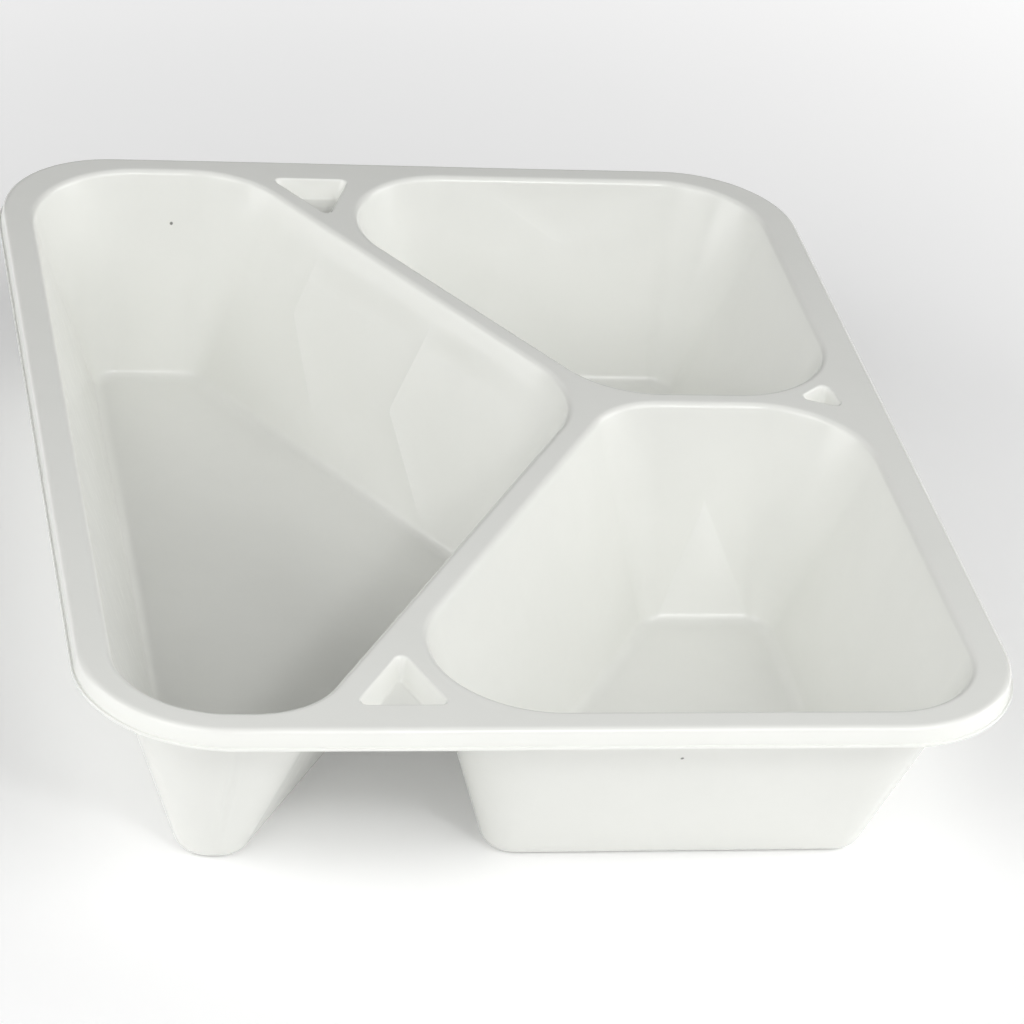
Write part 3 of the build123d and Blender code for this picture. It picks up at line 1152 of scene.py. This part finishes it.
@dataclass(frozen=True)
class StudioFloor:
    """Pale seamless studio floor, lit a little from within so that it stays white.

    Attributes:
        name: Name of the floor.
        colour: Base colour, linear.
        roughness: Roughness of its matt surface.
        glow: Strength of its own light under the tray.
        far_glow: The same far from the tray.
        fade: Distance from the tray's middle where the glow is half way, in metres.
        fade_soft: Half the distance over which it changes, in metres.
        reach: Half the side of the floor, in metres.
    """

    name: str = "studio_floor"
    colour: Numbers = (0.9, 0.9, 0.9, 1.0)
    roughness: float = 0.9
    glow: float = 0.14
    far_glow: float = 0.6
    fade: float = 0.32
    fade_soft: float = 0.22
    reach: float = 6.0

    def build(self) -> Object:
        """Lay the floor under the tray as a staged plane."""
        mesh = bpy.data.meshes.new(self.name)
        corners = [(x * self.reach, y * self.reach, 0) for x, y in ((-1, -1), (1, -1), (1, 1), (-1, 1))]
        mesh.from_pydata(corners, [], [(0, 1, 2, 3)])
        tree = NodeTree(self.name)
        place = tree.node("ShaderNodeTexCoord", output="Object")
        away = tree.node("ShaderNodeVectorMath", {"operation": "LENGTH"}, (place,), "Value")
        near = (*(self.glow / self.far_glow,) * 3, 1.0)
        inputs = {
            "Base Color": self.colour,
            "Roughness": self.roughness,
            "Emission Color": tree.mix(away.above(self.fade, self.fade_soft), near, WHITE),
            "Emission Strength": self.far_glow,
        }
        mesh.materials.append(tree.finish(inputs))
        return placed(self.name, mesh)


# ---- studio


@dataclass(frozen=True)
class Softbox:
    """A square area light that looks at a point of the tray.

    Attributes:
        name: Name of the light.
        azimuth: Degrees round the tray, 0 in front, positive to the right.
        elevation: Degrees above the floor.
        distance: Metres from the tray.
        size: Side of the light, in metres.
        power: Watts.
    """

    name: str
    azimuth: float
    elevation: float
    distance: float
    size: float
    power: float

    def build(self, target: Vector) -> Object:
        """Hang the light and turn it to the target."""
        light = bpy.data.lights.new(self.name, "AREA")
        light.shape = "SQUARE"
        light.size = self.size
        light.energy = self.power
        around, up = math.radians(self.azimuth), math.radians(self.elevation)
        way = Vector((math.sin(around) * math.cos(up), -math.cos(around) * math.cos(up), math.sin(up)))
        lamp = placed(self.name, light)
        lamp.location = target + way * self.distance
        lamp.rotation_euler = way.to_track_quat("Z", "Y").to_euler()
        return lamp


SOFTBOXES = (
    Softbox("front_right", azimuth=42, elevation=42, distance=1.05, size=0.7, power=4.25),
    Softbox("front_left", azimuth=-42, elevation=40, distance=1.05, size=0.7, power=4.05),
    Softbox("low_right", azimuth=90, elevation=20, distance=1.6, size=1.0, power=10.0),
    Softbox("low_left", azimuth=-90, elevation=20, distance=1.6, size=1.0, power=8.4),
    Softbox("glint", azimuth=14, elevation=42, distance=1.6, size=0.18, power=3.0),
)
SKY_STRENGTH = 0.02


@dataclass(frozen=True)
class Viewpoint:
    """Where the tray is looked at from: a long lens, low over its front edge.

    Attributes:
        place: Camera position in millimetres, from the middle of the tray's deck.
        lens: Focal length in millimetres on a 36 mm frame.
        pitch: Degrees that the view dips.
        heading: Degrees that the view turns to the right of the tray's long axis.
        roll: Degrees that the camera tips to the left.
    """

    place: Triple = (-172.9, -735.4, 423.5)
    lens: float = 150.7
    pitch: float = 30.49
    heading: float = 14.0
    roll: float = 7.54

    def build(self, top: float) -> Object:
        """Set up the camera over a deck of that height."""
        data = bpy.data.cameras.new("camera")
        data.lens = self.lens
        data.sensor_width = 36.0
        data.clip_end = 50.0
        camera = placed("camera", data)
        turn = (
            Matrix.Rotation(-math.radians(self.heading), 4, "Z")
            @ Matrix.Rotation(math.radians(90 - self.pitch), 4, "X")
            @ Matrix.Rotation(math.radians(self.roll), 4, "Z")
        )
        spot = (Vector(self.place) + Vector((0, 0, top))) * MM
        camera.matrix_world = Matrix.Translation(spot) @ turn
        bpy.context.scene.camera = camera
        return camera


def sky(brightness: float) -> None:
    """Give the studio an even pale surround."""
    world = bpy.data.worlds.new("studio")
    world.use_nodes = True
    background = world.node_tree.nodes["Background"]
    background.inputs["Color"].default_value = WHITE
    background.inputs["Strength"].default_value = brightness
    bpy.context.scene.world = world


# ---- assembly


def show(piece: Object, finish: bpy.types.Material, *nodes: str) -> None:
    """Dress a piece, fix it to the tray and let it stand for its nodes.

    Args:
        piece: The new piece.
        finish: Its material.
        nodes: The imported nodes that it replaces.
    """
    piece.data.materials.append(finish)
    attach(piece, BODY)
    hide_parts(*nodes)
    log.info("%s: %d faces", piece.name, len(piece.data.polygons))


def main() -> None:
    """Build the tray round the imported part, then the studio."""
    logging.basicConfig(level=logging.INFO, format="%(name)s: %(message)s")
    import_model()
    plan = TrayPlan.from_frame()
    relief = Relief(plan.top)
    finish = FormedSheet("white_sheet").material()
    compartments, pockets = plan.compartments(relief), plan.pockets(relief)
    for recess, folds in zip(compartments, plan.folds()):
        drawn = FormedSheet(f"{recess.name}_sheet", folds).material()
        show(recess.wall(), drawn, f"{recess.name}_wall")
        show(recess.floor(), finish, f"{recess.name}_floor")
    for recess in pockets:
        show(recess.cup(), finish, recess.name)
    holes = [recess.rim() for recess in compartments + pockets]
    edge = plan.deck_edge()
    show(Deck(edge, plan.top, plan.sheet, holes, relief).piece(), finish, "sealing_deck")
    show(Lip(edge, plan.top, plan.sheet, *plan.lip, relief).piece(), finish, "rim_lip")

    StudioFloor().build()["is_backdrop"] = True
    target = Vector((0, 0, plan.top * MM / 2))
    for softbox in SOFTBOXES:
        softbox.build(target)
    sky(SKY_STRENGTH)
    Viewpoint().build(plan.top)
    bpy.context.scene.view_settings.view_transform = "Standard"


if __name__ == "__main__":
    main()
